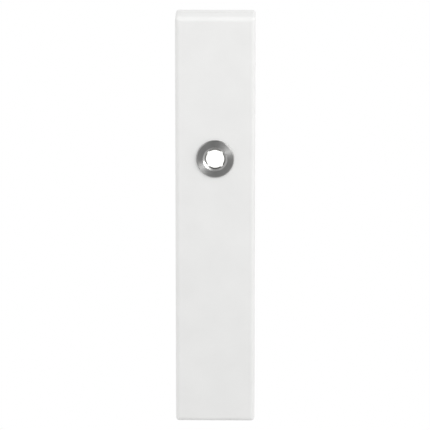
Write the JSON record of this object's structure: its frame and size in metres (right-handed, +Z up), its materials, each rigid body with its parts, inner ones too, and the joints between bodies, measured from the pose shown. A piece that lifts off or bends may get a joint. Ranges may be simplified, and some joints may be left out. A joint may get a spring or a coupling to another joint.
{
  "type": "video doorbell",
  "caption": "Slim white wall-mounted video doorbell: a tall plain housing with a lit opal push in a turned steel bezel, a hidden pinhole camera and a hook-on wall bracket.",
  "frame": {"origin": "on the wall, at the middle of the back face of the wall bracket", "axes": "+Z up, +Y into the wall, front faces -Y, +X to the right seen from the front"},
  "size_m": [0.042, 0.0232, 0.22],
  "materials": {
    "white_shell": "fine satin moulded, white",
    "white_elastomer": "matte, white",
    "opal": "satin opal, lit from behind",
    "turned_steel": "face-turned in fine rings",
    "bracket_steel": "zinc plated sheet",
    "plated_steel": "nickel plated",
    "seal_rubber": "matte",
    "black_plastic": "matte moulded",
    "ivory_plastic": "satin moulded",
    "board_laminate": "solder-masked laminate",
    "flex_film": "polyimide film",
    "battery_foil": "laminated foil pouch",
    "terminal_brass": "nickel flashed brass",
    "lens_glass": "coated"
  },
  "bodies": {
    "bracket": {"wall_bracket": "bracket_steel"},
    "unit": {"back_shell": "white_shell", "front_shell": "white_shell", "perimeter_seal": "seal_rubber", "housing_screws": "plated_steel", "security_screw": "plated_steel", "bezel_ring": "turned_steel", "bezel_nut": "plated_steel", "bezel_seal": "seal_rubber", "push_spring": "plated_steel", "push_switches": "black_plastic", "status_leds": "ivory_plastic", "lens_barrel": "black_plastic", "lens_front_element": "lens_glass", "lens_rear_element": "lens_glass", "lens_holder": "black_plastic", "image_sensor": "black_plastic", "camera_board": "board_laminate", "camera_flex": "flex_film", "main_board": "board_laminate", "shield_can": "plated_steel", "processor_chip": "black_plastic", "radio_module": "board_laminate", "board_chips": "black_plastic", "flex_connectors": "ivory_plastic", "board_screws": "plated_steel", "battery_pack": "battery_foil", "battery_pads": "seal_rubber", "battery_lead": "flex_film", "power_board": "board_laminate", "power_flex": "flex_film", "terminal_block": "black_plastic", "terminal_screws": "terminal_brass", "io_board": "board_laminate", "io_flex": "flex_film", "usb_port": "plated_steel", "usb_flap_pin": "plated_steel", "speaker": "black_plastic", "speaker_gasket": "seal_rubber", "speaker_mesh": "plated_steel", "microphone": "plated_steel", "mic_boot": "seal_rubber", "reset_switch": "black_plastic", "tamper_switch": "black_plastic"},
    "push": {"push_cap": "opal"},
    "reset": {"reset_button": "ivory_plastic"},
    "tamper": {"tamper_plunger": "black_plastic"},
    "flap": {"usb_flap": "white_elastomer"}
  },
  "joints": [
    {"name": "unit_lift", "type": "slide", "parent": "bracket", "child": "unit", "axis": [0, 0, 1], "range_m": [0, 0.007]},
    {"name": "push_press", "type": "slide", "parent": "unit", "child": "push", "axis": [0, 1, 0], "range_m": [0, 0.0012], "stiffness_N_per_m": 800, "springref_m": -0.0015, "deforming": ["push_spring"]},
    {"name": "reset_press", "type": "slide", "parent": "unit", "child": "reset", "axis": [0, 0, 1], "range_m": [0, 0.0005], "stiffness_N_per_m": 800, "springref_m": -0.0008},
    {"name": "tamper_press", "type": "slide", "parent": "unit", "child": "tamper", "axis": [0, 1, 0], "range_m": [-0.0008, 0], "stiffness_N_per_m": 400, "springref_m": 0.0012},
    {"name": "flap_hinge", "type": "hinge", "parent": "unit", "child": "flap", "pos_m": [0.009, -0.01068, -0.10925], "axis": [1, 0, 0], "range_deg": [0, 95]}
  ]
}
